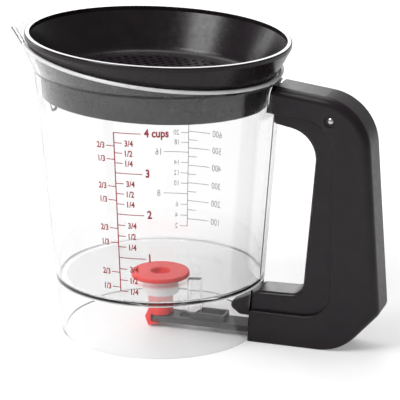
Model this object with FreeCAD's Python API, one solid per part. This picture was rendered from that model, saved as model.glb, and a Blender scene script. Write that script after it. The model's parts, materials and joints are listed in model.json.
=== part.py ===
import FreeCAD, Part
import math
import os

from FreeCAD import Rotation, Vector

# A gravy fat separator: a clear jug with a spout, a drop-in strainer, and a C-shaped handle whose inner
# half is a trigger. Squeezing the trigger rocks a lever under the raised floor, and the lever lifts a
# silicone plug out of the drain. Millimetres. The origin is the centre of the base ring on the table,
# +X points to the handle, -X to the spout and +Z up.

# ---- jug -------------------------------------------------------------------------------------------
jug_foot_radius = 53.9
jug_wall_slope = 0.077
jug_wall = 2.3
foot_edge_radius = 0.8
rim_drop = 9.3
rim_slope = 0.137
floor_height = 31.4
floor_fall = 3.1
floor_thickness = 1.8
floor_corner_radius = 1.2
seat_radius = 17.0
drain_radius = 7.6
collar_wall = 2.2
collar_depth = 9.0

# ---- mouth: a flare round the strainer's own axis, drawn out into a V-shaped spout -------------------
strainer_rim_height = 159.8
strainer_rim_offset = 0.1
strainer_tilt_slope = 0.049
mouth_gap = 0.3
mouth_wall = 2.2
mouth_rise = 8.0
lip_chamfer = 0.6
spout_projection = 16.4
spout_ridge_slope = 0.492
spout_nose_radius = 4.6
spout_depth = 48.5
lip_dip_drop = 1.2
lip_dip_radius = 23.0
lip_dip_depth = 26.0

# ---- strainer --------------------------------------------------------------------------------------
flare_reach = 7.727
strainer_rim_width = 2.4
strainer_rim_depth = 2.3
strainer_rim_edge = 0.7
strainer_wall = 2.2
flare_depth = 18.5
crease_gap = 0.607
band_step = 0.45
band_taper = 0.127
band_height = 13.0
strainer_floor_depth = 23.5
strainer_floor_thickness = 2.2
strainer_floor_corner = 5.0
sieve_hole_radius = 1.3
sieve_pitch = 5.2
sieve_margin = 7.5

# ---- handle ----------------------------------------------------------------------------------------
handle_width = 24.0
handle_wall = 2.35
handle_side_wall = 2.4
handle_edge_radius = 4.2
sole_edge_radius = 0.7
seam_edge_radius = 0.6
arm_drop = 11.15
arm_slope = 0.131
arm_start_reach = 13.0
palm_top_reach = 61.0
palm_bottom_reach = 69.5
palm_bottom_height = 22.5
sole_height = 0.2
sole_end_reach = 49.5
knuckle_radius = 28.0
heel_radius = 5.0
sole_curve_radius = 28.0
arm_depth = 14.05
seam_slope = 0.1
seam_top_reach = 43.3
seam_bottom_reach = 43.9
seam_bottom_height = 17.6
seam_top_radius = 16.0
seam_bottom_radius = 15.0
arm_cap = 3.6
pad_gap = 0.15

# ---- trigger ---------------------------------------------------------------------------------------
trigger_side_gap = 0.3
trigger_seam_gap = 0.35
trigger_wall = 2.1
trigger_skin = 2.2
trigger_overlap = 4.0
trigger_start_reach = 11.1
trigger_arm_depth = 5.65
trigger_top_slope = 0.2
trigger_front_top_reach = 34.8
trigger_front_bottom_reach = 27.7
trigger_lower_drop = 2.9
trigger_top_radius = 16.0
trigger_bottom_radius = 7.0
trigger_edge_radius = 2.2
trigger_back_radius = 12.0
trigger_lower_bottom = 13.2
nose_root_reach = 3.6
nose_root_drop = 3.4
nose_tip_inset = 11.9
nose_tip_drop = 10.8
nose_tip_thickness = 3.2
nose_bottom_inset = 7.4
nose_bottom_drop = 3.7
nose_radius = 2.6
nose_solid_inset = 4.4
pusher_inset = 2.4
pusher_length = 3.0
pusher_width = 6.0
pusher_gap = 0.4

# ---- trigger pin -----------------------------------------------------------------------------------
pivot_reach = 42.1
pivot_drop = 15.45
pin_radius = 1.5
pin_running_gap = 0.05
pin_recess_radius = 3.2
pin_recess_depth = 0.8
pin_dome = 0.5
ear_radius = 4.8

# ---- return spring ---------------------------------------------------------------------------------
spring_height = 62.0
spring_mean_radius = 3.9
spring_wire_radius = 0.45
spring_turns = 8.5
spring_seat_radius = 5.6
spring_seat_thickness = 1.2
spring_post_radius = 2.8
spring_post_length = 6.0

# ---- lever -----------------------------------------------------------------------------------------
lever_bottom = 3.6
lever_thickness = 3.2
lever_width = 13.0
lever_inner_end = -3.0
lever_outer_reach = 8.1
lever_corner_radius = 2.0
lever_relief_length = 9.0
lever_relief_rise = 0.9
lever_slot_start = 11.0
lever_slot_end = 25.0
lever_slot_width = 7.4
lever_slot_corner = 2.7
lever_frame_start = 17.5
lever_frame_end = 37.6
lever_frame_ramp = 5.0
lever_frame_height = 3.6
lever_frame_wall = 1.4

# ---- lever axle and its hanger under the floor ---------------------------------------------------------
axle_x = 19.5
axle_radius = 1.0
axle_running_gap = 0.05
axle_end_wall = 1.3
hanger_width = 7.2
hanger_thickness = 4.0
hanger_eye_radius = 3.3
hanger_slit_top = 1.5
hanger_slit_bottom = 3.6

# ---- drain plug ------------------------------------------------------------------------------------
plug_radius = 15.7
plug_thickness = 2.3
plug_edge_radius = 0.9
plug_seat_gap = 0.05
plug_dimple_radius = 5.2
plug_dimple_depth = 3.7
plug_dimple_edge = 0.6
plug_stem_radius = 6.7
plug_lever_gap = 0.3
hook_width = 12.8
hook_reach = 6.9
hook_gap = 0.6
hook_thickness = 2.6
hook_rise = 5.8
hook_tip_height = 0.7
hook_foot_end = 0.4

# ---- screws ----------------------------------------------------------------------------------------
screw_radius = 1.3
screw_head_radius = 2.9
screw_head_height = 1.6
screw_slot_width = 0.8
screw_slot_depth = 0.8
screw_hole_gap = 0.3
screw_slot_reach = 1.74
base_boss_wall = 1.2
arm_boss_wall = 2.2
base_screw_reach = 14.3
base_screw_pitch = 9.0
arm_screw_reach = 24.1

# ---- clear tongues of the jug that carry the handle ------------------------------------------------------
tongue_gap = 0.2
foot_tongue_reach = 30.1
foot_tongue_height = 4.3
foot_tongue_clearance = 1.7
lever_way = 0.6
lever_way_end = 1.5
arm_tongue_reach = 32.1
arm_tongue_width = 11.0
arm_tongue_drop = 11.15
arm_tongue_height = 4.3
notch_gap = 0.7
notch_top_gap = 0.6

# ---- heights and places that follow from the sizes above ---------------------------------------------
far = 200.0
overshoot = 1.0
touch = 0.01
rim_height = strainer_rim_height - rim_drop
lip_dip_height = strainer_rim_height - lip_dip_drop
strainer_height = flare_depth + band_height
arm_top_height = rim_height - arm_drop
seam_top_height = arm_top_height - arm_depth
trigger_top_height = seam_top_height - trigger_arm_depth
pivot_height = arm_top_height - pivot_drop
arm_tongue_bottom = arm_top_height - arm_tongue_drop
between_arms = (seam_top_height + seam_bottom_height) / 2
trigger_lower_top = floor_height - trigger_lower_drop
nose_root_height = floor_height - nose_root_drop
nose_tip_top = floor_height - nose_tip_drop
nose_tip_bottom = nose_tip_top - nose_tip_thickness
nose_bottom_height = nose_tip_bottom - nose_bottom_drop
axle_height = lever_bottom + lever_thickness / 2
hook_top = lever_bottom + lever_thickness + hook_rise

arm_start = jug_foot_radius + arm_start_reach
palm_top = jug_foot_radius + palm_top_reach
palm_bottom = jug_foot_radius + palm_bottom_reach
sole_end = jug_foot_radius + sole_end_reach
seam_top = jug_foot_radius + seam_top_reach
seam_bottom = jug_foot_radius + seam_bottom_reach
trigger_start = jug_foot_radius + trigger_start_reach
trigger_front_top = jug_foot_radius + trigger_front_top_reach
trigger_front_bottom = jug_foot_radius + trigger_front_bottom_reach
nose_root = jug_foot_radius + nose_root_reach
nose_tip = jug_foot_radius - nose_tip_inset
nose_bottom = jug_foot_radius - nose_bottom_inset
nose_solid_end = jug_foot_radius - nose_solid_inset
pusher_start = jug_foot_radius - pusher_inset
pivot_x = jug_foot_radius + pivot_reach
lever_outer_end = jug_foot_radius + lever_outer_reach
arm_screw_x = jug_foot_radius + arm_screw_reach
foot_tongue_end = jug_foot_radius + foot_tongue_reach
arm_tongue_end = jug_foot_radius + arm_tongue_reach
base_screw_start = jug_foot_radius + base_screw_reach
base_screw_places = (base_screw_start, base_screw_start + base_screw_pitch)

axis_y = Vector(0, 1, 0)
axis_z = Vector(0, 0, 1)


def wall_radius(height):
    """Outer radius of the jug's straight wall at a height."""
    return jug_foot_radius + jug_wall_slope * height


def rounded_edges(points, radii):
    """Edges of a closed outline through the points (x, z), each corner rounded by its radius."""
    count = len(points)
    corners = [Vector(x, 0, z) for x, z in points]
    spans = []
    for i in range(count):
        corner = corners[i]
        back = (corners[i - 1] - corner).normalize()
        ahead = (corners[(i + 1) % count] - corner).normalize()
        half = back.getAngle(ahead) / 2
        if radii[i] == 0:
            spans.append((corner, None, corner))
            continue
        reach = radii[i] / math.tan(half)
        middle = (back + ahead).normalize()
        inset = radii[i] / math.sin(half) - radii[i]
        spans.append((corner + back * reach, corner + middle * inset, corner + ahead * reach))
    edges = []
    for i in range(count):
        start, middle, end = spans[i]
        if middle is not None:
            edges.append(Part.Arc(start, middle, end).toShape())
        edges.append(Part.makeLine(end, spans[(i + 1) % count][0]))
    return edges


def outline_face(points, radii=None):
    """A flat face in the XZ plane."""
    radii = radii or [0] * len(points)
    return Part.Face(Part.Wire(rounded_edges(points, radii)))


def slab(points, radii, width):
    """An outline in the XZ plane made into a solid of the given width, centred on Y = 0."""
    face = outline_face(points, radii)
    face.translate(Vector(0, -width / 2, 0))
    return face.extrude(Vector(0, width, 0))


def turned(points, radii=None):
    """An outline (radius, z) turned round the Z axis."""
    return outline_face(points, radii).revolve(Vector(0, 0, 0), axis_z, 360)


def block(x, y, z):
    """A box from three (low, high) pairs."""
    return Part.makeBox(x[1] - x[0], y[1] - y[0], z[1] - z[0], Vector(x[0], y[0], z[0]))


def across(width, x, z):
    """A box of the given width centred on Y = 0."""
    return block(x, (-width / 2, width / 2), z)


def rod(radius, start, end):
    """A round rod between two points."""
    along = end - start
    return Part.makeCylinder(radius, along.Length, start, along)


def inset_path(points, distance):
    """An open path moved to its right-hand side, seen with X to the right and Z up."""
    lines = []
    for (x0, z0), (x1, z1) in zip(points, points[1:]):
        length = math.hypot(x1 - x0, z1 - z0)
        ux = (x1 - x0) / length
        uz = (z1 - z0) / length
        lines.append((x0 + uz * distance, z0 - ux * distance, ux, uz))
    moved = [lines[0][:2]]
    for (ax, az, au, av), (bx, bz, bu, bv) in zip(lines, lines[1:]):
        step = ((bx - ax) * bv - (bz - az) * bu) / (au * bv - av * bu)
        moved.append((ax + au * step, az + av * step))
    x, z, ux, uz = lines[-1]
    length = math.hypot(points[-1][0] - points[-2][0], points[-1][1] - points[-2][1])
    moved.append((x + ux * length, z + uz * length))
    return moved


def tilted(shape):
    """Moves a shape from the strainer's own axes, rim centre at the origin, to its place in the jug."""
    turn = math.degrees(math.atan(strainer_tilt_slope))
    place = FreeCAD.Placement(Vector(strainer_rim_offset, 0, strainer_rim_height), Rotation(axis_y, turn))
    moved = shape.copy()
    moved.Placement = place
    return moved


# ---- shared outlines ---------------------------------------------------------------------------------
crease_radius = wall_radius(strainer_rim_height - flare_depth) - jug_wall - crease_gap
flare_slope = flare_reach / (flare_depth - strainer_rim_depth)
strainer_rim_radius = crease_radius + flare_reach
spout_reach = strainer_rim_radius + spout_projection
lip_dip_start = lip_dip_depth - spout_reach
flare_start_radius = strainer_rim_radius + flare_slope * strainer_rim_depth
mouth_inner_radius = flare_start_radius + mouth_gap
mouth_outer_radius = mouth_inner_radius + mouth_wall * math.hypot(1, flare_slope)

arm_top_slope_rise = arm_slope * (palm_top - arm_start)
handle_outer_path = [
    (arm_start, arm_top_height),
    (palm_top, arm_top_height - arm_top_slope_rise),
    (palm_bottom, palm_bottom_height),
    (sole_end, sole_height),
    (0, sole_height),
]
handle_outer_radii = [knuckle_radius, heel_radius, sole_curve_radius]
handle_inner_path = inset_path(handle_outer_path, handle_wall)
handle_inner_radii = [radius - handle_wall for radius in handle_outer_radii]
handle_inner_width = handle_width - 2 * handle_side_wall

trigger_width = handle_inner_width - 2 * trigger_side_gap
trigger_inner_width = trigger_width - 2 * trigger_wall
trigger_front_top_height = trigger_top_height - trigger_top_slope * (trigger_front_top - trigger_start)
trigger_front_path = [
    (trigger_start, trigger_top_height),
    (trigger_front_top, trigger_front_top_height),
    (trigger_front_bottom, trigger_lower_top),
    (nose_root, nose_root_height),
    (nose_tip, nose_tip_top),
]
trigger_back = seam_bottom + trigger_overlap
trigger_front_radii = [trigger_top_radius, trigger_bottom_radius, nose_radius]

seam_top_corner_height = seam_top_height - seam_slope * (seam_top - arm_start)
pivot = Vector(pivot_x, 0, pivot_height)
lever_top = lever_bottom + lever_thickness
plug_seat_height = floor_height - floor_fall
plug_bottom = plug_seat_height + plug_seat_gap
foot_tongue_bottom = sole_height + handle_wall + foot_tongue_clearance
foot_tongue_top = foot_tongue_bottom + foot_tongue_height
lever_way_width = lever_width + 2 * lever_way
lever_way_limit = lever_outer_end + lever_way_end


def arm_end_plane(z):
    """X of the upper arm's end face, which stands square to the arm's top line."""
    return arm_start - arm_slope * (arm_top_height - z)


def arm_end_space(width):
    """The space on the jug's side of the upper arm's end face."""
    points = [
        (0, between_arms), (arm_end_plane(between_arms), between_arms), (arm_end_plane(far), far), (0, far)
    ]
    return slab(points, None, width)


def teardrop(radius, nose, reach, height):
    """The mouth's outline square to the strainer's axis: a circle drawn out to a V with a round nose."""
    centre = nose - reach
    tangent = math.pi / 2 + math.asin((radius - nose) / -centre)
    touch = Vector(radius * math.cos(tangent), radius * math.sin(tangent), height)
    start = Vector(centre + nose * math.cos(tangent), nose * math.sin(tangent), height)
    mirror = FreeCAD.Matrix()
    mirror.A22 = -1
    touch_back = mirror.multVec(touch)
    start_back = mirror.multVec(start)
    edges = [
        Part.Arc(touch_back, Vector(radius, 0, height), touch).toShape(),
        Part.makeLine(touch, start),
        Part.Arc(start, Vector(-reach, 0, height), start_back).toShape(),
        Part.makeLine(start_back, touch_back),
    ]
    return Part.Wire(edges)


def mouth_solid(rim_radius, nose, rim_reach):
    """The flared mouth and spout as one solid, from below the spout's root to above the rim."""
    sections = []
    for height in (-spout_depth, mouth_rise):
        radius = rim_radius + flare_slope * height
        reach = rim_reach + spout_ridge_slope * height
        sections.append(teardrop(radius, nose * radius / rim_radius, reach, height))
    return tilted(Part.makeLoft(sections, True, True))


def handle_slab(drop, edge_radius):
    """The handle's outside down to a drop below its sole, with its long outer edges rounded."""
    start = jug_foot_radius - 2 * jug_wall
    seam_start_height = seam_top_height + seam_slope * (arm_start - start)
    heel_slope = (palm_bottom - sole_end) / (palm_bottom_height - sole_height)
    points = [
        (start, arm_top_height + arm_slope * (arm_start - start)),
        *handle_outer_path[1:3],
        (sole_end - heel_slope * drop, sole_height - drop),
        (start, sole_height - drop),
        (start, seam_bottom_height),
        (seam_bottom, seam_bottom_height),
        (seam_top, seam_top_corner_height),
        (start, seam_start_height),
    ]
    radii = [0, *handle_outer_radii, 0, 0, seam_bottom_radius, seam_top_radius, 0]
    solid = slab(points, radii, handle_width)
    outer = []
    for edge in solid.Edges:
        middle = edge.CenterOfMass
        on_side = edge.BoundBox.YLength < touch and edge.BoundBox.XLength > touch
        below_seam = middle.z < seam_bottom_height - handle_wall
        above_seam = middle.z > seam_start_height
        behind_seam = middle.x > seam_bottom + handle_wall
        if on_side and (below_seam or above_seam or behind_seam):
            outer.append(edge)
    return solid.makeFillet(edge_radius, outer)


def handle_envelope():
    """The handle's outside, drawn on into the jug's wall at both arms: round edges, but a crisp sole."""
    rounded = handle_slab(handle_edge_radius, handle_edge_radius)
    handle = rounded.common(handle_slab(0, sole_edge_radius))
    return handle.makeFillet(seam_edge_radius, [edge for edge in handle.Edges if is_seam(edge)])


def is_seam(edge):
    """True for a long edge of the handle that faces the trigger."""
    middle = edge.CenterOfMass
    on_side = edge.BoundBox.YLength < touch and abs(abs(middle.y) - handle_width / 2) < touch
    before_palm = middle.x < seam_bottom + touch and edge.BoundBox.XMax < seam_bottom + handle_wall
    between = seam_bottom_height - touch < middle.z < seam_height(middle.x)
    return on_side and before_palm and between


def seam_height(x):
    """Height just above the upper arm's seam."""
    return seam_top_height - seam_slope * (x - arm_start) + overshoot


def build_jug(envelope):
    """Clear jug: wall, raised floor, skirt, mouth, lever hanger and the tongues inside the handle."""
    top = rim_height + far
    outside = turned(
        [(0, 0), (jug_foot_radius, 0), (wall_radius(top), top), (0, top)],
        [0, foot_edge_radius, 0, 0],
    )
    outside = outside.fuse(mouth_solid(mouth_outer_radius, spout_nose_radius, spout_reach))
    pad_space = arm_end_space(far)
    outside = outside.fuse(envelope.common(pad_space))
    arm_tongue_top = arm_tongue_bottom + arm_tongue_height
    arm_tongue = across(
        arm_tongue_width, (arm_end_plane(0), arm_tongue_end), (arm_tongue_bottom, arm_tongue_top)
    )
    outside = outside.fuse(arm_tongue)
    floor_edge = wall_radius(floor_height) - jug_wall
    cup = turned(
        [
            (0, plug_seat_height),
            (seat_radius, plug_seat_height),
            (floor_edge, floor_height),
            (wall_radius(top) - jug_wall, top),
            (0, top),
        ],
        [0, 0, floor_corner_radius, 0, 0],
    )
    inner_reach = spout_reach - mouth_wall * math.hypot(1, spout_ridge_slope)
    cup = cup.fuse(mouth_solid(mouth_inner_radius, spout_nose_radius - mouth_wall, inner_reach))
    jug = outside.cut(cup)
    underside = plug_seat_height - floor_thickness
    edge_underside = floor_height - floor_thickness
    skirt_bore = turned(
        [
            (0, -overshoot),
            (wall_radius(-overshoot) - jug_wall, -overshoot),
            (wall_radius(edge_underside) - jug_wall, edge_underside),
            (seat_radius, underside),
            (0, underside),
        ],
        [0, 0, floor_corner_radius / 2, 0, 0],
    )
    foot_tongue = across(
        handle_inner_width - 2 * tongue_gap, (0, foot_tongue_end), (foot_tongue_bottom, foot_tongue_top)
    )
    jug = jug.fuse(foot_tongue).cut(skirt_bore)
    rim_cut = slab(
        [(-far, rim_plane(-far)), (far, rim_plane(far)), (far, 2 * top), (-far, 2 * top)], [0] * 4, 2 * far
    )
    dip = rod(lip_dip_radius, Vector(-far, 0, lip_dip_height + lip_dip_radius),
              Vector(lip_dip_start, 0, lip_dip_height + lip_dip_radius))
    jug = jug.cut(rim_cut).cut(dip)
    jug = jug.makeChamfer(lip_chamfer, [edge for edge in jug.Edges if is_lip(edge)])
    collar = rod(drain_radius + collar_wall, Vector(0, 0, underside - collar_depth), Vector(0, 0, underside))
    hanger = across(hanger_thickness, (axle_x - hanger_width / 2, axle_x + hanger_width / 2),
                    (axle_height, underside + floor_thickness / 2))
    eye = rod(hanger_eye_radius, Vector(axle_x, -hanger_thickness / 2, axle_height),
              Vector(axle_x, hanger_thickness / 2, axle_height))
    jug = jug.fuse(collar).fuse(hanger.fuse(eye))
    slit = slab(
        [
            (axle_x - hanger_slit_top / 2, axle_height),
            (axle_x + hanger_slit_top / 2, axle_height),
            (axle_x + hanger_slit_bottom / 2, 0),
            (axle_x - hanger_slit_bottom / 2, 0),
        ],
        [0] * 4,
        lever_width,
    )
    bore = rod(axle_radius + axle_running_gap, Vector(axle_x, -lever_width, axle_height),
               Vector(axle_x, lever_width, axle_height))
    drain = rod(drain_radius, Vector(0, 0, 0), Vector(0, 0, floor_height))
    notch_width = trigger_width + 2 * notch_gap
    notch = across(notch_width, (jug_foot_radius - 2 * jug_wall, jug_foot_radius + 2 * jug_wall),
                   (foot_tongue_top, nose_root_height + notch_top_gap))
    lever_notch = across(
        lever_way_width, (jug_foot_radius - 2 * jug_wall, lever_way_limit), (-overshoot, foot_tongue_top)
    )
    jug = jug.cut(slit).cut(bore).cut(drain).cut(notch).cut(lever_notch)
    for place in base_screw_places:
        jug = jug.cut(rod(screw_radius, Vector(place, 0, 0), Vector(place, 0, foot_tongue_top)))
    arm_hole = rod(
        screw_radius + screw_hole_gap, Vector(arm_screw_x, 0, pivot_height), Vector(arm_screw_x, 0, far)
    )
    return jug.cut(arm_hole)


def rim_plane(x):
    """Height of the slanted plane that the mouth's rim lies in."""
    return rim_height - rim_slope * x


def is_lip(edge):
    """True for an edge of the mouth's lip, on the rim plane or in the spout's dip."""
    points = edge.discretize(5)
    on_rim = all(abs(point.z - rim_plane(point.x)) < touch for point in points)
    dip_axis = lip_dip_height + lip_dip_radius
    in_dip = all(abs(math.hypot(point.z - dip_axis, point.y) - lip_dip_radius) < touch for point in points)
    return on_rim or in_dip


def build_strainer():
    """Drop-in strainer: flared rim, skirt band, and a floor full of holes, round a tilted axis."""
    rim_inner = strainer_rim_radius - strainer_rim_width
    wall_across = strainer_wall * math.hypot(1, flare_slope)
    band_top_radius = crease_radius - band_step
    band_top = flare_depth + band_step
    band_bottom_radius = band_top_radius - band_taper * (strainer_height - band_top)
    inner_floor_radius = flare_start_radius - wall_across - flare_slope * strainer_floor_depth
    inner_bottom = strainer_floor_depth + strainer_floor_thickness
    edge = strainer_rim_edge
    body = turned(
        [
            (0, -strainer_floor_depth),
            (inner_floor_radius, -strainer_floor_depth),
            (flare_start_radius - wall_across - flare_slope * strainer_rim_depth, -strainer_rim_depth),
            (rim_inner, 0),
            (strainer_rim_radius, 0),
            (strainer_rim_radius, -strainer_rim_depth),
            (crease_radius, -flare_depth),
            (band_top_radius, -band_top),
            (band_bottom_radius, -strainer_height),
            (band_bottom_radius - strainer_wall, -strainer_height),
            (band_top_radius - strainer_wall, -inner_bottom),
            (0, -inner_bottom),
        ],
        [0, strainer_floor_corner, 0, 0, edge, 0, 0, 0, edge, edge, 0, 0],
    )
    holes = []
    row_step = sieve_pitch * math.sqrt(3) / 2
    reach = inner_floor_radius - sieve_margin
    rows = int(reach / row_step)
    columns = int(reach / sieve_pitch) + 1
    for row in range(-rows, rows + 1):
        for column in range(-columns, columns + 1):
            x = (column + (row % 2) / 2) * sieve_pitch
            y = row * row_step
            if math.hypot(x, y) < reach:
                holes.append(rod(sieve_hole_radius, Vector(x, y, -strainer_height), Vector(x, y, 0)))
    return tilted(body.cut(Part.makeCompound(holes)))


def build_handle_shell(envelope):
    """Outer half of the handle: a C-shaped trough, open towards the jug, that the trigger sinks into."""
    void_points = [
        (arm_start + arm_cap, seam_top_height - handle_wall),
        (arm_start + arm_cap, handle_inner_path[0][1] - arm_slope * arm_cap),
        *handle_inner_path[1:4],
        (0, handle_inner_path[4][1]),
        (0, seam_top_height - handle_wall),
    ]
    void = slab(void_points, [0, 0, *handle_inner_radii, 0, 0], handle_inner_width)
    shell = envelope.cut(void)
    skirt_space = turned(
        [
            (0, -overshoot),
            (wall_radius(-overshoot) + pad_gap, -overshoot),
            (wall_radius(between_arms) + pad_gap, between_arms),
            (0, between_arms),
        ]
    )
    shell = shell.cut(arm_end_space(far)).cut(skirt_space)
    lever_gate = across(lever_way_width, (0, lever_way_limit), (-overshoot, foot_tongue_bottom))
    tongue_gate = across(
        arm_tongue_width + 2 * tongue_gap,
        (0, arm_start + arm_cap + overshoot),
        (arm_tongue_bottom - tongue_gap, arm_tongue_bottom + arm_tongue_height + tongue_gap),
    )
    shell = shell.cut(lever_gate).cut(tongue_gate)
    floor_top = sole_height + handle_wall
    for place in base_screw_places:
        boss = rod(screw_head_radius + base_boss_wall, Vector(place, 0, floor_top - handle_wall / 2),
                   Vector(place, 0, foot_tongue_bottom))
        clear = rod(screw_radius + screw_hole_gap, Vector(place, 0, 0), Vector(place, 0, foot_tongue_bottom))
        well = rod(screw_head_radius + screw_hole_gap, Vector(place, 0, 0), Vector(place, 0, floor_top))
        shell = shell.fuse(boss).cut(clear).cut(well)
    tongue_top = arm_tongue_bottom + arm_tongue_height
    arm_inner_height = handle_inner_path[0][1] - arm_slope * (arm_screw_x - arm_start)
    arm_boss = rod(screw_radius + arm_boss_wall, Vector(arm_screw_x, 0, tongue_top),
                   Vector(arm_screw_x, 0, arm_inner_height + handle_wall / 2))
    arm_pilot = rod(screw_radius, Vector(arm_screw_x, 0, 0), Vector(arm_screw_x, 0, arm_inner_height))
    shell = shell.fuse(arm_boss).cut(arm_pilot)
    seat_face = spring_shell_seat()
    seat = rod(spring_seat_radius, Vector(seat_face, 0, spring_height),
               Vector(seat_face + spring_seat_thickness + handle_wall / 2, 0, spring_height))
    post = rod(spring_post_radius, Vector(seat_face - spring_post_length, 0, spring_height),
               Vector(seat_face, 0, spring_height))
    shell = shell.fuse(seat).fuse(post)
    side = handle_width / 2
    pin_hole = rod(pin_radius, pivot - axis_y * far, pivot + axis_y * far)
    shell = shell.cut(pin_hole)
    for sign in (-1, 1):
        face = pivot + axis_y * (sign * side)
        floor = face - axis_y * (sign * pin_recess_depth)
        shell = shell.cut(rod(pin_recess_radius, floor, face + axis_y * sign))
    return shell


def spring_shell_seat():
    """X of the spring's seat on the palm side."""
    lean = (palm_bottom - palm_top) / (handle_outer_path[1][1] - palm_bottom_height)
    palm = palm_bottom - lean * (spring_height + spring_seat_radius - palm_bottom_height)
    return palm - handle_wall * math.hypot(1, lean) - spring_seat_thickness


def spring_trigger_seat():
    """X of the spring's seat inside the trigger's front skin."""
    lean = (trigger_front_top - trigger_front_bottom) / (trigger_front_top_height - trigger_lower_top)
    front = trigger_front_bottom + lean * (spring_height + spring_seat_radius - trigger_lower_top)
    return front + trigger_skin + spring_seat_thickness


def build_trigger():
    """Inner half of the handle: a hollow C that swings on the pin, with a nose reaching under the floor."""
    seam_at_start = seam_top_height - trigger_seam_gap
    step_x = arm_start + arm_cap + trigger_side_gap * 2
    ear_top = pivot_height + ear_radius
    points = [
        *trigger_front_path,
        (nose_tip, nose_tip_bottom),
        (nose_bottom, nose_bottom_height),
        (trigger_back, trigger_lower_bottom),
        (trigger_back, ear_top),
        (step_x, ear_top),
        (step_x, seam_at_start - seam_slope * (step_x - arm_start)),
        (trigger_start, seam_at_start),
    ]
    radii = [
        trigger_edge_radius, *trigger_front_radii, nose_radius, nose_radius, nose_radius,
        trigger_back_radius, ear_radius, 0, 0, 0,
    ]
    body = slab(points, radii, trigger_width)
    body = body.makeFillet(trigger_edge_radius, front_side_edges(body))
    pocket_path = inset_path([(x, z) for x, z in reversed(trigger_front_path)], trigger_skin)
    pocket_path.reverse()
    pocket_points = [
        (pocket_path[0][0] + trigger_wall, pocket_path[0][1]),
        *pocket_path[1:4],
        (nose_solid_end, pocket_path[3][1] - (pocket_path[3][0] - nose_solid_end)
         * (nose_root_height - nose_tip_top) / (nose_root - nose_tip)),
        (nose_solid_end, 0),
        (far, 0),
        (far, far),
        (pocket_path[0][0] + trigger_wall, far),
    ]
    pocket_radii = [
        0,
        trigger_top_radius - trigger_skin,
        trigger_bottom_radius + trigger_skin,
        nose_radius + trigger_skin,
        *[0] * 5,
    ]
    body = body.cut(slab(pocket_points, pocket_radii, trigger_inner_width))
    pusher = across(
        pusher_width,
        (pusher_start, pusher_start + pusher_length),
        (lever_top + pusher_gap, pocket_path[3][1]),
    )
    seat_face = spring_trigger_seat()
    seat_root = seat_face - spring_seat_thickness - trigger_skin / 2
    seat = rod(spring_seat_radius, Vector(seat_root, 0, spring_height), Vector(seat_face, 0, spring_height))
    post = rod(spring_post_radius, Vector(seat_face, 0, spring_height),
               Vector(seat_face + spring_post_length, 0, spring_height))
    bore = rod(pin_radius + pin_running_gap, pivot - axis_y * far, pivot + axis_y * far)
    return body.fuse(pusher).fuse(seat).fuse(post).cut(bore)


def front_side_edges(body):
    """The long edges of the trigger's front on both sides, from the upper arm to the nose."""
    chosen = []
    for edge in body.Edges:
        middle = edge.CenterOfMass
        on_side = edge.BoundBox.YLength < touch
        in_front = middle.x < trigger_front_top - touch and edge.BoundBox.XLength > touch
        above_nose = middle.z > nose_tip_bottom
        below_seam = middle.z < seam_top_height - trigger_seam_gap - trigger_edge_radius
        seam_side = middle.z > trigger_front_top_height + trigger_edge_radius and middle.x > trigger_front_top
        if on_side and in_front and above_nose and below_seam and not seam_side:
            chosen.append(edge)
    return chosen


def build_trigger_pin():
    """Steel pin across the handle, its domed ends showing in the recesses."""
    half = handle_width / 2 - pin_recess_depth
    pin = rod(pin_radius, pivot - axis_y * half, pivot + axis_y * half)
    for sign in (-1, 1):
        cap = Part.makeSphere(sphere_radius(pin_radius, pin_dome))
        cap.translate(pivot + axis_y * (sign * (half + pin_dome - sphere_radius(pin_radius, pin_dome))))
        pin = pin.fuse(cap.common(rod(pin_radius, pivot + axis_y * (sign * half),
                                      pivot + axis_y * (sign * (half + pin_dome)))))
    return pin.removeSplitter()


def sphere_radius(radius, rise):
    """Radius of the sphere whose cap has the given base radius and rise."""
    return (radius * radius + rise * rise) / (2 * rise)


def build_return_spring():
    """Compression spring between the trigger's front skin and the palm."""
    start = spring_trigger_seat() + spring_wire_radius
    end = spring_shell_seat() - spring_wire_radius
    spring = coil(spring_mean_radius, spring_wire_radius, spring_turns, end - start)
    spring.rotate(Vector(0, 0, 0), axis_y, 90)
    spring.translate(Vector(start, 0, spring_height))
    return spring


def coil(mean_radius, wire_radius, turns, length):
    """A round-wire coil along Z, from the origin, made of half rings that lean to and fro."""
    halves = round(2 * turns)
    rise = length / halves
    lean = math.degrees(math.asin(rise / 2 / mean_radius))
    rings = []
    for index in range(halves):
        ring = Part.makeTorus(mean_radius, wire_radius, Vector(0, 0, 0), axis_z, 0, 360, 180)
        ring.rotate(Vector(0, 0, 0), axis_z, 180 * (index % 2))
        ring.rotate(Vector(0, 0, 0), axis_y, lean if index % 2 == 0 else -lean)
        ring.translate(Vector(0, 0, rise * (index + 0.5)))
        rings.append(ring)
    return rings[0].fuse(rings[1:]).Solids[0]


def upright_edges(body):
    """The straight edges of a body that run along Z."""
    return [edge for edge in body.Edges if edge.BoundBox.XLength + edge.BoundBox.YLength < touch]


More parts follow.
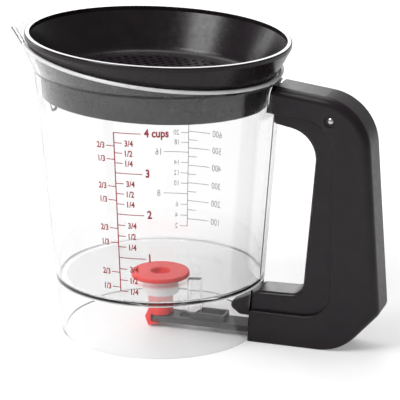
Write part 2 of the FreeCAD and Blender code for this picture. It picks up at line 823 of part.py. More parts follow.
def build_lever():
    """Rocking lever under the floor: a plate with a slot for its hanger and a raised open frame."""
    plate = slab(
        [
            (lever_inner_end, lever_bottom),
            (lever_outer_end - lever_relief_length, lever_bottom),
            (lever_outer_end, lever_bottom + lever_relief_rise),
            (lever_outer_end, lever_top),
            (lever_inner_end, lever_top),
        ],
        [0] * 5,
        lever_width,
    )
    plate = plate.makeFillet(lever_corner_radius, upright_edges(plate))
    frame_top = lever_top + lever_frame_height
    frame = slab(
        [
            (lever_frame_start, lever_bottom),
            (lever_frame_end, lever_bottom),
            (lever_frame_end, frame_top),
            (lever_frame_start + lever_frame_ramp, frame_top),
            (lever_frame_start, lever_top),
        ],
        [0] * 5,
        lever_slot_width + 2 * lever_frame_wall,
    )
    outer = [edge for edge in upright_edges(frame) if edge.CenterOfMass.x > lever_frame_end - touch]
    frame = frame.makeFillet(lever_frame_wall, outer)
    hollow_end = lever_frame_end - lever_frame_wall
    hollow = across(lever_slot_width, (lever_frame_start - overshoot, hollow_end),
                    (lever_top, frame_top + overshoot))
    slot = across(lever_slot_width, (lever_slot_start, lever_slot_end), (0, lever_top))
    slot = slot.makeFillet(lever_slot_corner, upright_edges(slot))
    near, far_side = lever_axle_ends()
    bore = rod(axle_radius, near, far_side + axis_y * overshoot)
    return plate.fuse(frame).cut(hollow).cut(slot).cut(bore)


def lever_axle_ends():
    """The blind end and the open end of the axle's bore."""
    half = lever_width / 2
    return Vector(axle_x, axle_end_wall - half, axle_height), Vector(axle_x, half, axle_height)


def build_lever_axle():
    """Steel axle pressed into the lever's two rails from its far side."""
    return rod(axle_radius, *lever_axle_ends())


def build_drain_plug():
    """Silicone plug: a flat flange on the drain's seat, a stem, and a hook round the lever's inner end."""
    top = plug_bottom + plug_thickness
    stem_bottom = lever_top + plug_lever_gap
    body = turned(
        [
            (0, stem_bottom),
            (plug_stem_radius, stem_bottom),
            (plug_stem_radius, plug_bottom),
            (plug_radius, plug_bottom),
            (plug_radius, top),
            (plug_dimple_radius, top),
            (plug_dimple_radius, top - plug_dimple_depth),
            (0, top - plug_dimple_depth),
        ],
        [0, 0, 0, 0, plug_edge_radius, plug_dimple_edge, plug_dimple_edge, 0],
    )
    inner = lever_inner_end - hook_gap
    foot_top = lever_bottom - hook_gap
    hook = slab(
        [
            (inner, stem_bottom),
            (inner, foot_top),
            (hook_foot_end, foot_top),
            (hook_foot_end, foot_top - hook_thickness / 4),
            (inner - hook_thickness / 2, hook_tip_height),
            (-hook_reach, (stem_bottom + foot_top) / 2 + hook_gap),
            (inner, hook_top),
            (0, hook_top),
            (0, stem_bottom),
        ],
        [0, hook_gap / 2, 0, 0, hook_gap / 2, hook_thickness, 0, 0, 0],
        hook_width,
    )
    return body.fuse(hook)


def screw(length):
    """A pan-head screw along Z, its head below the origin and its shank above."""
    head = rod(screw_head_radius, Vector(0, 0, -screw_head_height), Vector(0, 0, 0))
    low = [edge for edge in head.Edges if edge.BoundBox.ZLength < touch and edge.CenterOfMass.z < -touch]
    head = head.makeFillet(screw_head_height / 2, low)
    shank = rod(screw_radius, Vector(0, 0, 0), Vector(0, 0, length))
    bottom = -screw_head_height
    depth = (bottom - overshoot, bottom + screw_slot_depth)
    half_slot = screw_slot_width / 2
    for half_x, half_y in ((screw_slot_reach, half_slot), (half_slot, screw_slot_reach)):
        head = head.cut(block((-half_x, half_x), (-half_y, half_y), depth))
    return head.fuse(shank)


def build_base_screws():
    """Two screws that hold the handle's sole to the jug's foot tongue."""
    floor_top = sole_height + handle_wall
    screws = []
    for place in base_screw_places:
        one = screw(foot_tongue_top - floor_top)
        one.translate(Vector(place, 0, floor_top))
        screws.append(one)
    return Part.makeCompound(screws)


def build_arm_screw():
    """One screw, driven from inside the handle, that holds the upper arm to the jug's arm tongue."""
    arm_inner_height = handle_inner_path[0][1] - arm_slope * (arm_screw_x - arm_start)
    one = screw(arm_inner_height - arm_tongue_bottom)
    one.translate(Vector(arm_screw_x, 0, arm_tongue_bottom))
    return one


def main():
    os.makedirs("parts", exist_ok=True)
    envelope = handle_envelope()
    parts = {
        "jug": build_jug(envelope),
        "strainer": build_strainer(),
        "handle_shell": build_handle_shell(envelope),
        "trigger": build_trigger(),
        "trigger_pin": build_trigger_pin(),
        "return_spring": build_return_spring(),
        "lever": build_lever(),
        "lever_axle": build_lever_axle(),
        "drain_plug": build_drain_plug(),
        "base_screws": build_base_screws(),
        "arm_screw": build_arm_screw(),
    }
    for name, shape in parts.items():
        print(name, shape.isValid(), len(shape.Solids), round(shape.Volume, 1))
        shape.exportStep(f"parts/{name}.step")


main()
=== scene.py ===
"""The gravy fat separator in its studio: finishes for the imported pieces, and the printed scales."""

import json
import math
from collections import namedtuple

import bmesh
import bpy
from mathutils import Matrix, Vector


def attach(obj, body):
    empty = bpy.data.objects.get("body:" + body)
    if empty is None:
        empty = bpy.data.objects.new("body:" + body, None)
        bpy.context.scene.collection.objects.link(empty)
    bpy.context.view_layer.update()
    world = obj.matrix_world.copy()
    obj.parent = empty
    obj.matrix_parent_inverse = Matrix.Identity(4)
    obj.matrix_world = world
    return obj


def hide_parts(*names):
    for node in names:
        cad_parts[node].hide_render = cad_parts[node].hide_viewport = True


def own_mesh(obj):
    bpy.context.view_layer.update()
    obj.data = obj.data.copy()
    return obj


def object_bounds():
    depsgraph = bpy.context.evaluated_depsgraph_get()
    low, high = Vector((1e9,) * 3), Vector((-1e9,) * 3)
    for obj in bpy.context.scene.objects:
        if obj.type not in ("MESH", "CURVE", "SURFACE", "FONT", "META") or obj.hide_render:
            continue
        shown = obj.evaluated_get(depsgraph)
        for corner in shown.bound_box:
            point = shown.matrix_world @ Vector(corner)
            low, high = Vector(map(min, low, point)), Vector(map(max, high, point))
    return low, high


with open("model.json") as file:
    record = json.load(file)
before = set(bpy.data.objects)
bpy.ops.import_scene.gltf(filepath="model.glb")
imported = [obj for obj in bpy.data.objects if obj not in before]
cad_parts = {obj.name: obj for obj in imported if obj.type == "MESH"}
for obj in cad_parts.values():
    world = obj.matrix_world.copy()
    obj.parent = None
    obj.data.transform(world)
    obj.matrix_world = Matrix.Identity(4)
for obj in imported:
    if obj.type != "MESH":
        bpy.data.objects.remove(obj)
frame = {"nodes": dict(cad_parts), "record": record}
cad_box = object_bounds()

MM = 0.001

# Camera: where the viewer stands, in metres and degrees.
CAMERA_PLACE = (0.344901, -0.947608, 0.383085)
CAMERA_TURN = (72.7363, 0.1405, 18.7417)
CAMERA_LENS = 178.379
CAMERA_SENSOR = 36.0

# Sky: plain white where it is seen straight, weaker on matt surfaces. Through the jug and in
# gloss its level goes with how high a ray points, from 0 for level to 1 for straight up.
SKY_WHITE = 1.0
SKY_ON_MATT = 0.45
SKY_BANDS = ((0.0, 1.0), (0.15, 1.0), (0.40, 0.75), (0.75, 0.75), (0.97, 1.0))

# Through the jug the sky dims away from the back, and in gloss away from the back left. A Dimming
# goes from full light at start to level at end, both measured along the direction towards.
Dimming = namedtuple("Dimming", "towards start end level")
DIM_IN_JUG = Dimming((0.342, -0.940, 0.0), -0.85, -0.2, 0.60)
DIM_IN_GLOSS = Dimming((0.643, -0.766, 0.0), -0.95, -0.4, 0.33)

# Floor: the light it sends back and its glow add up to white where no shadow falls.
FLOOR_SIZE = 8.0
FLOOR_ALBEDO = 0.78
FLOOR_GLOW = 0.27
FLOOR_GLOW_IN_JUG = 0.04

# Lamps shine at a point on the jug's axis, at height aim; sizes are in metres, power in watts.
Lamp = namedtuple("Lamp", "name place aim size power")
LAMPS = (
    Lamp("softbox_top", (-0.25, 0.35, 1.15), 0.08, 0.9, 6.0),
    Lamp("softbox_front", (-0.45, -0.79, 1.05), 0.10, 0.55, 10.0),
    Lamp("softbox_high", (-0.40, -0.36, 1.20), 0.10, 0.3, 2.6),
    Lamp("softbox_back", (-0.55, 1.30, 0.72), 0.12, 0.7, 6.0),
    Lamp("softbox_left", (-1.35, 0.30, 0.40), 0.08, 0.5, 2.5),
)

# The drain's collar is frosted inside this radius and between these heights.
COLLAR_RADIUS = 10.3 * MM
COLLAR_LOW = 16.0 * MM
COLLAR_HIGH = 26.4 * MM

# The jug's lip leans by LIP_TILT; it is hazy above LIP_LOW, measured on its lean at the jug's
# axis, but not out on the spout. There it is also whitened to a painted highlight.
LIP_TILT = 0.137
LIP_LOW = 148.9 * MM
SPOUT_ROOT = -61.0 * MM

# The raised floor's level faces are hazy beyond this radius, where they meet the wall, and are
# whitened there with painted light.
FLOOR_EDGE_RADIUS = 50.5 * MM
FLOOR_EDGE_LOW = 27.0 * MM
FLOOR_EDGE_HIGH = 33.0 * MM
LEVEL_FACE = 0.6

# How rough the hazy places are, and how much of their light they turn white instead of passing it:
# the collar's frosting, a painted highlight on the lip, and painted light on the floor's edge.
FROSTED_ROUGHNESS = 0.35
FLOOR_EDGE_ROUGHNESS = 0.16
COLLAR_MILK = 0.55
LIP_PAINTED_HIGHLIGHT = 0.65
# The floor edge's whitening is painted light on a ring that would otherwise render dark.
FLOOR_EDGE_PAINTED_LIGHT = 0.4

# The strainer's rim leans by RIM_TILT and is polished above RIM_LOW.
RIM_TILT = 0.049
RIM_LOW = 159.0 * MM
RIM_POLISH = 0.6

# A noise's middle stretch, which is spread over a finish's range, and the part that mixes tones.
NOISE_MIDDLE = (0.3, 0.7)
TONE_MIDDLE = (0.35, 0.65)

# Printed scales: the ink lies this far off the wall and is this thick.
INK_LIFT = 0.05 * MM
INK_THICKNESS = 0.03 * MM
INK_WELD = 0.001 * MM
LINE_STEP = 1.0 * MM
FIGURE_WIDTH = 0.8

# The whole cups' heights on the wall, and how far the first cup's even steps reach down.
CUP_HEIGHTS = {1: 56.4 * MM, 2: 80.1 * MM, 3: 102.2 * MM, 4: 123.5 * MM}
MOST_CUPS = 4
LEAST_CUPS = 0.25
FIRST_CUP_RISE = 24.8 * MM
ML_PER_CUP = 236.6
OZ_PER_CUP = 8

# The scales' middles, in degrees round the jug, and the widths of their lines.
CUP_SCALE_TURN = -91
METRIC_SCALE_TURN = 94
CUP_SPINE = 0.6 * MM
CUP_LINE = 0.45 * MM
METRIC_SPINE = 0.4 * MM
METRIC_LINE = 0.35 * MM

# A mark is a line of this length from the scale's middle, to the left where it is negative, then
# a gap and words of this size. Words are lifted by rise and thickened by bold.
Mark = namedtuple("Mark", "length gap size bold rise", defaults=(0.0, 0.0, 0.0, 0.0))
CUP_MARK = Mark(14.0 * MM, 1.6 * MM, 4.0 * MM, 0.035, 0.5 * MM)
QUARTER_MARK = Mark(4.1 * MM, 1.4 * MM, 3.0 * MM, 0.03)
THIRD_MARK = Mark(-4.4 * MM, 0.9 * MM, 3.0 * MM, 0.03)
HUNDRED_ML_MARK = Mark(-13.2 * MM, 1.6 * MM, 3.6 * MM)
FIFTY_ML_MARK = Mark(-5.1 * MM)
EIGHT_OZ_MARK = Mark(14.1 * MM, 1.8 * MM, 3.6 * MM)
TWO_OZ_MARK = Mark(4.3 * MM, 1.3 * MM, 2.9 * MM)


# ---------------------------------------------------------------- node helpers


def new_material(name):
    """A material with an empty node tree, and its output node."""
    material = bpy.data.materials.new(name)
    material.use_nodes = True
    material.node_tree.nodes.clear()
    output = material.node_tree.nodes.new("ShaderNodeOutputMaterial")
    return material, material.node_tree, output


def add_node(tree, kind, **values):
    """A node of this kind, with its input sockets set by name."""
    node = tree.nodes.new(kind)
    for name, value in values.items():
        node.inputs[name.replace("_", " ")].default_value = value
    return node


def feed(tree, socket, source):
    """Gives the socket its source, which is another socket or a number."""
    if isinstance(source, (int, float)):
        socket.default_value = source
    else:
        tree.links.new(source, socket)


def arithmetic(tree, operation, *sources):
    """One step of arithmetic on one or two sockets or numbers."""
    node = tree.nodes.new("ShaderNodeMath")
    node.operation = operation
    for socket, source in zip(node.inputs, sources):
        feed(tree, socket, source)
    return node.outputs[0]


def product(tree, *sources):
    """All the sources multiplied: where they are flags, 1 where every one is."""
    result = sources[0]
    for source in sources[1:]:
        result = arithmetic(tree, "MULTIPLY", result, source)
    return result


def above(tree, source, low):
    """1 where the source is more than low, else 0."""
    return arithmetic(tree, "GREATER_THAN", source, low)


def below(tree, source, high):
    """1 where the source is less than high, else 0."""
    return arithmetic(tree, "LESS_THAN", source, high)


def choose(tree, flag, otherwise, value):
    """The value where the flag is 1, else the other; each is a socket or a number."""
    mix = tree.nodes.new("ShaderNodeMix")
    tree.links.new(flag, mix.inputs["Factor"])
    feed(tree, mix.inputs["A"], otherwise)
    feed(tree, mix.inputs["B"], value)
    return mix.outputs["Result"]


def map_range(tree, source, start, end, low, high):
    """The source from start to end, spread over low to high and held there beyond."""
    ranged = tree.nodes.new("ShaderNodeMapRange")
    for name, value in (("From Min", start), ("From Max", end), ("To Min", low), ("To Max", high)):
        ranged.inputs[name].default_value = value
    tree.links.new(source, ranged.inputs["Value"])
    return ranged.outputs["Result"]


def split_xyz(tree, source):
    """The three sockets of a vector."""
    split = tree.nodes.new("ShaderNodeSeparateXYZ")
    tree.links.new(source, split.inputs["Vector"])
    return split.outputs["X"], split.outputs["Y"], split.outputs["Z"]


def own_places(tree):
    """The piece's own X, Y and Z, in metres."""
    return split_xyz(tree, tree.nodes.new("ShaderNodeTexCoord").outputs["Object"])


def noise(tree, waves, detail=3.0, stretch=(1, 1, 1)):
    """A noise over the piece's own coordinates, of so many waves per metre."""
    coordinates = tree.nodes.new("ShaderNodeTexCoord")
    mapping = add_node(tree, "ShaderNodeMapping", Scale=stretch)
    texture = add_node(tree, "ShaderNodeTexNoise", Scale=waves, Detail=detail)
    tree.links.new(coordinates.outputs["Object"], mapping.inputs["Vector"])
    tree.links.new(mapping.outputs["Vector"], texture.inputs["Vector"])
    return texture.outputs["Fac"]


def spread(tree, source, low, high):
    """The noise's middle stretch, spread over low to high."""
    return map_range(tree, source, *NOISE_MIDDLE, low, high)


def bump(tree, source, depth):
    """A normal that rises and falls by depth, in metres, with the source."""
    node = add_node(tree, "ShaderNodeBump", Strength=1.0, Distance=depth)
    tree.links.new(source, node.inputs["Height"])
    return node.outputs["Normal"]


def two_tones(tree, source, dark, light):
    """A colour between dark and light, by the source."""
    ramp = tree.nodes.new("ShaderNodeValToRGB")
    for element, position, colour in zip(ramp.color_ramp.elements, TONE_MIDDLE, (dark, light)):
        element.position = position
        element.color = (*colour, 1)
    tree.links.new(source, ramp.inputs["Fac"])
    return ramp.outputs["Color"]


def finish_shader(tree, output, shader, colour=None, roughness=None, normal=None):
    """Links the shader's colour, roughness and normal where they are given, and shows it."""
    sources = {"Base Color": colour, "Roughness": roughness, "Normal": normal}
    for name, source in sources.items():
        if source is not None:
            tree.links.new(source, shader.inputs[name])
    tree.links.new(shader.outputs["BSDF"], output.inputs["Surface"])


# ---------------------------------------------------------------- materials


def clear_zones(tree):
    """Flags of the jug's hazy places, the drain's collar, lip and floor edge; lip and floor edge also
    carry painted light.
    """
    x, y, z = own_places(tree)
    squares = arithmetic(tree, "ADD", product(tree, x, x), product(tree, y, y))
    off_axis = arithmetic(tree, "SQRT", squares)
    collar = product(
        tree,
        below(tree, off_axis, COLLAR_RADIUS),
        above(tree, z, COLLAR_LOW),
        below(tree, z, COLLAR_HIGH),
    )
    height_on_lean = arithmetic(tree, "ADD", z, product(tree, x, LIP_TILT))
    lip = product(tree, above(tree, height_on_lean, LIP_LOW), above(tree, x, SPOUT_ROOT))
    normal = tree.nodes.new("ShaderNodeNewGeometry").outputs["Normal"]
    upright = arithmetic(tree, "ABSOLUTE", split_xyz(tree, normal)[2])
    floor_edge = product(
        tree,
        above(tree, off_axis, FLOOR_EDGE_RADIUS),
        above(tree, z, FLOOR_EDGE_LOW),
        below(tree, z, FLOOR_EDGE_HIGH),
        above(tree, upright, LEVEL_FACE),
    )
    return collar, lip, floor_edge


def clear_plastic():
    """Moulded clear styrene: faint waves, a grey tint that gathers at the edges, hazy lip and collar;
    lip and floor edge are whitened with painted light.

    Lamps shine through it, so that its shadow is a pale one.
    """
    material, tree, output = new_material("clear_plastic")
    shader = add_node(tree, "ShaderNodeBsdfPrincipled", IOR=1.49)
    shader.inputs["Base Color"].default_value = (0.982, 0.980, 0.981, 1)
    collar, lip, floor_edge = clear_zones(tree)

    polished = spread(tree, noise(tree, waves=40), 0.006, 0.02)
    frosted = product(tree, arithmetic(tree, "MAXIMUM", collar, lip), FROSTED_ROUGHNESS)
    edge_haze = product(tree, floor_edge, FLOOR_EDGE_ROUGHNESS)
    hazy = arithmetic(tree, "MAXIMUM", frosted, edge_haze)
    tree.links.new(arithmetic(tree, "MAXIMUM", polished, hazy), shader.inputs["Roughness"])

    passed = 1.0
    # The whitening of the lip and the floor's edge here is painted light; the collar's is its
    # frosting.
    for zone, milk_and_painted_light in ((collar, COLLAR_MILK), (lip, LIP_PAINTED_HIGHLIGHT), (floor_edge, FLOOR_EDGE_PAINTED_LIGHT)):
        passed = arithmetic(tree, "SUBTRACT", passed, product(tree, zone, milk_and_painted_light))
    tree.links.new(passed, shader.inputs["Transmission Weight"])

    waves = bump(tree, noise(tree, waves=55, detail=1.0), 0.03 * MM)
    tree.links.new(waves, shader.inputs["Normal"])

    shadow = add_node(tree, "ShaderNodeBsdfTransparent", Color=(0.92, 0.92, 0.92, 1))
    path = tree.nodes.new("ShaderNodeLightPath")
    mix = tree.nodes.new("ShaderNodeMixShader")
    tree.links.new(path.outputs["Is Shadow Ray"], mix.inputs["Fac"])
    tree.links.new(shader.outputs["BSDF"], mix.inputs[1])
    tree.links.new(shadow.outputs["BSDF"], mix.inputs[2])
    tree.links.new(mix.outputs["Shader"], output.inputs["Surface"])

    tint = add_node(tree, "ShaderNodeVolumeAbsorption", Density=12.0, Color=(0.80, 0.79, 0.80, 1))
    tree.links.new(tint.outputs["Volume"], output.inputs["Volume"])
    return material


def satin_plastic(name, dark, light, roughness, texture_depth, polished_rim=False):
    """Moulded plastic with a fine spark-eroded texture; the strainer's rim is polished on top."""
    material, tree, output = new_material(name)
    shader = add_node(tree, "ShaderNodeBsdfPrincipled", IOR=1.46, Specular_IOR_Level=0.4)
    rough = spread(tree, noise(tree, waves=300), roughness - 0.04, roughness + 0.04)
    if polished_rim:
        x, _, z = own_places(tree)
        height_on_lean = arithmetic(tree, "ADD", z, product(tree, x, RIM_TILT))
        polish = product(tree, above(tree, height_on_lean, RIM_LOW), RIM_POLISH)
        rough = product(tree, rough, arithmetic(tree, "SUBTRACT", 1.0, polish))
    finish_shader(
        tree,
        output,
        shader,
        colour=two_tones(tree, noise(tree, waves=120), dark, light),
        roughness=rough,
        normal=bump(tree, noise(tree, waves=2600, detail=2.0), texture_depth),
    )
    return material


def red_silicone():
    """Soft matt rubber with a little light inside it."""
    material, tree, output = new_material("red_silicone")
    shader = add_node(
        tree, "ShaderNodeBsdfPrincipled", IOR=1.41, Subsurface_Weight=0.15, Subsurface_Scale=2 * MM
    )
    dark = (0.78, 0.022, 0.018)
    light = (0.88, 0.034, 0.028)
    finish_shader(
        tree,
        output,
        shader,
        colour=two_tones(tree, noise(tree, waves=260), dark, light),
        roughness=spread(tree, noise(tree, waves=500), 0.42, 0.55),
        normal=bump(tree, noise(tree, waves=1800, detail=2.0), 0.01 * MM),
    )
    return material


def steel():
    """Drawn stainless steel, with fine marks round the wire and along the pins."""
    material, tree, output = new_material("steel")
    shader = add_node(tree, "ShaderNodeBsdfPrincipled", Metallic=1.0)
    dark = (0.52, 0.52, 0.53)
    light = (0.68, 0.68, 0.68)
    marks = noise(tree, waves=900, detail=2.0, stretch=(1, 0.1, 4))
    finish_shader(
        tree,
        output,
        shader,
        colour=two_tones(tree, noise(tree, waves=700), dark, light),
        roughness=spread(tree, noise(tree, waves=900), 0.2, 0.34),
        normal=bump(tree, marks, 0.008 * MM),
    )
    return material


def ink(name, dark, light):
    """Screen-printed ink, a little uneven in its cover."""
    material, tree, output = new_material(name)
    finish_shader(
        tree,
        output,
        tree.nodes.new("ShaderNodeBsdfPrincipled"),
        colour=two_tones(tree, noise(tree, waves=900), dark, light),
        roughness=spread(tree, noise(tree, waves=1500), 0.45, 0.6),
    )
    return material


def dress_nodes():
    """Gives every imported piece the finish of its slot, and the strainer its own glossier black."""
    by_slot = {
        "clear": clear_plastic(),
        "black": satin_plastic(
            "black_satin",
            dark=(0.0100, 0.0068, 0.0090),
            light=(0.0140, 0.0100, 0.0128),
            roughness=0.33,
            texture_depth=0.003 * MM,
        ),
        "lever_grey": satin_plastic(
            "lever_grey",
            dark=(0.056, 0.054, 0.056),
            light=(0.076, 0.073, 0.076),
            roughness=0.38,
            texture_depth=0.006 * MM,
        ),
        "red_silicone": red_silicone(),
        "steel": steel(),
    }
    by_node = {
        "strainer": satin_plastic(
            "black_strainer",
            dark=(0.0095, 0.0066, 0.0086),
            light=(0.0135, 0.0098, 0.0123),
            roughness=0.25,
            texture_depth=0.0025 * MM,
            polished_rim=True,
        )
    }
    for subpart in frame["record"]["subparts"]:
        node = subpart["node"]
        finish = by_node.get(node, by_slot[subpart["material_slot"]])
        for place in frame["nodes"][node].material_slots:
            place.material = finish


# ---------------------------------------------------------------- return spring


def make_return_coil(spring):
    """The return spring as a piece of its own, with its own copy of the mesh, hung on the root."""
    piece = bpy.data.objects.new("return_coil", spring.data.copy())
    bpy.context.scene.collection.objects.link(piece)
    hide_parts("return_spring")
    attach(piece, "root")
    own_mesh(piece)


# ---------------------------------------------------------------- printed scales


class Wall:
    """The jug's outer wall along one printed scale, as a cone measured on the jug."""

    LOW = 45 * MM
    HIGH = 115 * MM

    def __init__(self, jug, middle):
        self.middle = math.radians(middle)
        low, high = (self.measure(jug, height) for height in (self.LOW, self.HIGH))
        self.slope = (high - low) / (self.HIGH - self.LOW)
        self.foot = low - self.slope * self.LOW

    def measure(self, jug, height):
        """The wall's outer radius at this height."""
        out = Vector((math.cos(self.middle), math.sin(self.middle), 0))
        _, place, _, _ = jug.ray_cast(out + Vector((0, 0, height)), -out)
        return Vector((place.x, place.y)).length

    def place(self, along, height, lift):
        """The point this far round the wall from the scale's middle, so high and so far off it."""
        radius = self.foot + self.slope * height
        turn = self.middle + along / radius
        out = Vector((math.cos(turn), math.sin(turn), 0))
        return out * (radius + lift) + Vector((0, 0, height))


def add_line(mesh, wall, start, end, width):
    """A printed line from start to end, each given as (along the wall, height)."""
    first, last = Vector(start), Vector(end)
    run = last - first
    side = Vector((-run.y, run.x)).normalized() * width / 2
    steps = max(1, math.ceil(run.length / LINE_STEP))
    rings = []
    for step in range(steps + 1):
        middle = first + run * step / steps
        corners = [
            (middle + side, INK_LIFT),
            (middle - side, INK_LIFT),
            (middle - side, INK_LIFT + INK_THICKNESS),
            (middle + side, INK_LIFT + INK_THICKNESS),
        ]
        rings.append([mesh.verts.new(wall.place(at.x, at.y, lift)) for at, lift in corners])
    for near, far in zip(rings, rings[1:]):
        for corner in range(4):
            after = (corner + 1) % 4
            mesh.faces.new((near[corner], near[after], far[after], far[corner]))
    mesh.faces.new(reversed(rings[0]))
    mesh.faces.new(rings[-1])


def text_mesh(words, bold):
    """Lettering of words at size 1, from the built-in font, 1 thick and centred on its plane."""
    curve = bpy.data.curves.new("lettering", "FONT")
    curve.body = words
    curve.extrude = 0.5
    curve.offset = bold
    curve.resolution_u = 3
    holder = bpy.data.objects.new("lettering", curve)
    bpy.context.scene.collection.objects.link(holder)
    bpy.context.view_layer.update()
    shown = holder.evaluated_get(bpy.context.evaluated_depsgraph_get())
    made = bpy.data.meshes.new_from_object(shown)
    bpy.data.objects.remove(holder)
    bpy.data.curves.remove(curve)
    return made


def figure_height():
    """How high the built-in font draws a figure, at size 1."""
    made = text_mesh("1", 0.0)
    heights = [vertex.co.y for vertex in made.vertices]
    bpy.data.meshes.remove(made)
    return max(heights) - min(heights)


def add_label(mesh, wall, words, start, height, mark):
    """Printed words in the mark's size, centred at height, that go outwards from start."""
    made = text_mesh(words, mark.bold)
    scale = mark.size / figure_height()
    across = [vertex.co.x for vertex in made.vertices]
    base = min(across) if start > 0 else max(across)
    for vertex in made.vertices:
        along = start + (vertex.co.x - base) * scale * FIGURE_WIDTH
        up = height + vertex.co.y * scale - mark.size / 2
        lift = INK_LIFT + (vertex.co.z + 0.5) * INK_THICKNESS
        vertex.co = wall.place(along, up, lift)
    mesh.from_mesh(made)
    bpy.data.meshes.remove(made)


def add_mark(mesh, wall, mark, height, line, words=""):
    """A mark at this height, with a line of this width, and words beyond its end."""
    left, right = sorted((0.0, mark.length))
    add_line(mesh, wall, (left, height), (right, height), line)
    if words:
        start = mark.length + math.copysign(mark.gap, mark.length)
        add_label(mesh, wall, words, start, height + mark.rise, mark)


def add_spine(mesh, wall, width, line):
    """The upright line that the marks stand on."""
    low = cup_height(LEAST_CUPS)
    high = cup_height(MOST_CUPS) + line / 2
    add_line(mesh, wall, (0, low), (0, high), width)


def finish_print(mesh, name, material):
    """Turns the collected ink into a piece that rides on the jug."""
    bmesh.ops.remove_doubles(mesh, verts=mesh.verts, dist=INK_WELD)
    bmesh.ops.recalc_face_normals(mesh, faces=mesh.faces)
    data = bpy.data.meshes.new(name)
    mesh.to_mesh(data)
    mesh.free()
    data.materials.append(material)
    piece = bpy.data.objects.new(name, data)
    bpy.context.scene.collection.objects.link(piece)
    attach(piece, "root")


def cup_height(cups):
    """The height of this many cups on the wall."""
    if cups <= 1:
        return CUP_HEIGHTS[1] - (1 - cups) * FIRST_CUP_RISE
    below_it = min(int(cups), MOST_CUPS - 1)
    part = cups - below_it
    return CUP_HEIGHTS[below_it] * (1 - part) + CUP_HEIGHTS[below_it + 1] * part


def cup_scale(jug):
    """The red scale of cups on the near side, with quarters to its right and thirds to its left."""
    wall = Wall(jug, CUP_SCALE_TURN)
    mesh = bmesh.new()
    add_spine(mesh, wall, CUP_SPINE, CUP_LINE)
    for cups in CUP_HEIGHTS:
        words = f"{cups} cups" if cups == MOST_CUPS else str(cups)
        add_mark(mesh, wall, CUP_MARK, cup_height(cups), CUP_LINE, words)
    for whole in range(MOST_CUPS):
        for part, words in ((0.25, "1/4"), (0.5, "1/2"), (0.75, "3/4")):
            add_mark(mesh, wall, QUARTER_MARK, cup_height(whole + part), CUP_LINE, words)
        for part, words in ((1 / 3, "1/3"), (2 / 3, "2/3")):
            add_mark(mesh, wall, THIRD_MARK, cup_height(whole + part), CUP_LINE, words)
    colour = ink("red_ink", dark=(0.30, 0.018, 0.024), light=(0.36, 0.026, 0.032))
    finish_print(mesh, "cup_scale_print", colour)


def metric_scale(jug):
    """The grey scale on the far side: millilitres to one side of its line, ounces to the other."""
    wall = Wall(jug, METRIC_SCALE_TURN)
    mesh = bmesh.new()
    add_spine(mesh, wall, METRIC_SPINE, METRIC_LINE)
    for volume in range(100, 950, 50):
        height = cup_height(volume / ML_PER_CUP)
        if volume % 100 == 0:
            add_mark(mesh, wall, HUNDRED_ML_MARK, height, METRIC_LINE, str(volume))
        else:
            add_mark(mesh, wall, FIFTY_ML_MARK, height, METRIC_LINE)
    for volume in range(2, 34, 2):
        mark = TWO_OZ_MARK if volume % OZ_PER_CUP else EIGHT_OZ_MARK
        add_mark(mesh, wall, mark, cup_height(volume / OZ_PER_CUP), METRIC_LINE, str(volume))
    colour = ink("grey_ink", dark=(0.26, 0.26, 0.27), light=(0.34, 0.34, 0.35))
    finish_print(mesh, "metric_scale_print", colour)


# ---------------------------------------------------------------- studio


def make_floor():
    """A wide matt floor that looks white, and keeps the shadow on it."""
    material, tree, output = new_material("floor_white")
    matt = add_node(tree, "ShaderNodeBsdfDiffuse", Color=(FLOOR_ALBEDO,) * 3 + (1,))
    glow = tree.nodes.new("ShaderNodeEmission")
    path = tree.nodes.new("ShaderNodeLightPath")
    strength = choose(tree, path.outputs["Is Transmission Ray"], 0.0, FLOOR_GLOW_IN_JUG)
    strength = choose(tree, path.outputs["Is Camera Ray"], strength, FLOOR_GLOW)
    tree.links.new(strength, glow.inputs["Strength"])
    both = tree.nodes.new("ShaderNodeAddShader")
    tree.links.new(matt.outputs["BSDF"], both.inputs[0])
    tree.links.new(glow.outputs["Emission"], both.inputs[1])
    tree.links.new(both.outputs["Shader"], output.inputs["Surface"])
    mesh = bmesh.new()
    bmesh.ops.create_grid(mesh, x_segments=1, y_segments=1, size=FLOOR_SIZE / 2)
    data = bpy.data.meshes.new("floor")
    mesh.to_mesh(data)
    mesh.free()
    data.materials.append(material)
    floor = bpy.data.objects.new("floor", data)
    floor.location.z = cad_box[0].z
    bpy.context.scene.collection.objects.link(floor)


def sky_bands(tree, direction):
    """The sky's level by how high the direction points."""
    bands = tree.nodes.new("ShaderNodeValToRGB")
    ramp = bands.color_ramp
    for position, _ in SKY_BANDS[len(ramp.elements):]:
        ramp.elements.new(position)
    for element, (position, level) in zip(ramp.elements, SKY_BANDS):
        element.position = position
        element.color = (level, level, level, 1)
    tree.links.new(split_xyz(tree, direction)[2], bands.inputs["Fac"])
    return bands.outputs["Color"]


def dimmed(tree, level, direction, dimming):
    """The level, dimmed the further the direction goes towards the dimming's own."""
    along = tree.nodes.new("ShaderNodeVectorMath")
    along.operation = "DOT_PRODUCT"
    along.inputs[1].default_value = dimming.towards
    tree.links.new(direction, along.inputs[0])
    share = map_range(tree, along.outputs["Value"], dimming.start, dimming.end, 1.0, dimming.level)
    return product(tree, level, share)


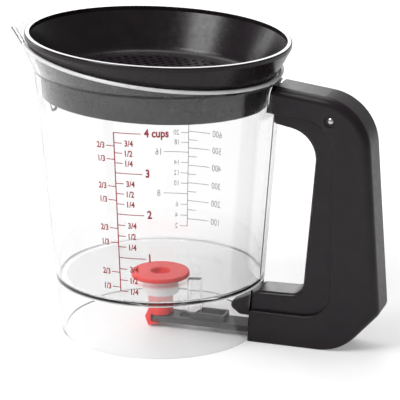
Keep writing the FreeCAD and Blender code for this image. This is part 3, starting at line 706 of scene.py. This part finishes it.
def make_world():
    """White where it is seen straight, banded through the jug and in gloss, plain on matt surfaces."""
    world = bpy.data.worlds.new("studio")
    bpy.context.scene.world = world
    world.use_nodes = True
    tree = world.node_tree
    tree.nodes.clear()
    output = tree.nodes.new("ShaderNodeOutputWorld")
    background = tree.nodes.new("ShaderNodeBackground")
    path = tree.nodes.new("ShaderNodeLightPath")
    direction = tree.nodes.new("ShaderNodeTexCoord").outputs["Generated"]
    bands = sky_bands(tree, direction)
    in_jug = dimmed(tree, bands, direction, DIM_IN_JUG)
    in_gloss = dimmed(tree, bands, direction, DIM_IN_GLOSS)
    strength = choose(tree, path.outputs["Is Transmission Ray"], SKY_ON_MATT, in_jug)
    strength = choose(tree, path.outputs["Is Glossy Ray"], strength, in_gloss)
    strength = choose(tree, path.outputs["Is Camera Ray"], strength, SKY_WHITE)
    tree.links.new(strength, background.inputs["Strength"])
    tree.links.new(background.outputs["Background"], output.inputs["Surface"])


def add_lamp(lamp):
    """A soft square lamp, seen only by what it lights and in gloss."""
    light = bpy.data.lights.new(lamp.name, "AREA")
    light.shape = "SQUARE"
    light.size = lamp.size
    light.energy = lamp.power
    holder = bpy.data.objects.new(lamp.name, light)
    holder.location = lamp.place
    shines = Vector((0, 0, lamp.aim)) - Vector(lamp.place)
    holder.rotation_euler = shines.to_track_quat("-Z", "Y").to_euler()
    holder.visible_camera = False
    holder.visible_transmission = False
    bpy.context.scene.collection.objects.link(holder)


def make_camera():
    """The viewer's camera."""
    data = bpy.data.cameras.new("camera")
    data.lens = CAMERA_LENS
    data.sensor_width = CAMERA_SENSOR
    camera = bpy.data.objects.new("camera", data)
    camera.location = CAMERA_PLACE
    camera.rotation_euler = [math.radians(angle) for angle in CAMERA_TURN]
    bpy.context.scene.collection.objects.link(camera)
    bpy.context.scene.camera = camera


dress_nodes()
make_return_coil(frame["nodes"]["return_spring"])
cup_scale(frame["nodes"]["jug"])
metric_scale(frame["nodes"]["jug"])
make_world()
make_floor()
for lamp in LAMPS:
    add_lamp(lamp)
make_camera()
bpy.context.scene.view_settings.view_transform = "Standard"
